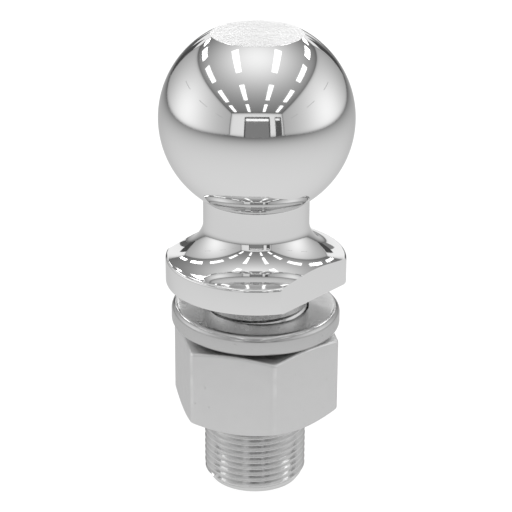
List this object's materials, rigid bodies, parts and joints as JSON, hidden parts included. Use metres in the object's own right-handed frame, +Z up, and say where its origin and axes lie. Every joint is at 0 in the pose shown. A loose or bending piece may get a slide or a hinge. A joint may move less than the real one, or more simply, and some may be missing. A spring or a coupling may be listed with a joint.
{
  "type": "trailer hitch ball",
  "caption": "Chromed ball on a flared neck and flange with two wrench flats, over a threaded shank that carries a split lock washer and a hexagon nut.",
  "frame": {"origin": "centre of the shank's end face, on which the part stands", "axes": "+Z up the shank's axis to the ball; the flange's two wrench flats face +X and -X"},
  "size_m": [0.0588, 0.0588, 0.1449],
  "materials": {
    "chrome_plate": "mirror chrome plate on forged steel, satin on the thread",
    "washer_zinc": "satin bright zinc plate on spring steel",
    "nut_zinc": "satin bright zinc plate on forged steel"
  },
  "bodies": {
    "ball_stud": {"ball_stud": "chrome_plate"},
    "lock_washer": {"lock_washer": "washer_zinc"},
    "hex_nut": {"hex_nut": "nut_zinc"}
  },
  "joints": [
    {"name": "washer_travel", "type": "slide", "parent": "ball_stud", "child": "lock_washer", "axis": [0, 0, 1], "range_m": [-0.0237, 0.0063]},
    {"name": "nut_turn", "type": "hinge", "parent": "lock_washer", "child": "hex_nut", "pos_m": [0, 0, 0.03735], "axis": [0, 0, 1], "range_deg": [-4030, 1071]}
  ],
  "couplings": [
    {"joint": "washer_travel", "follows": "nut_turn", "m_per_rad": 0.00033688}
  ]
}
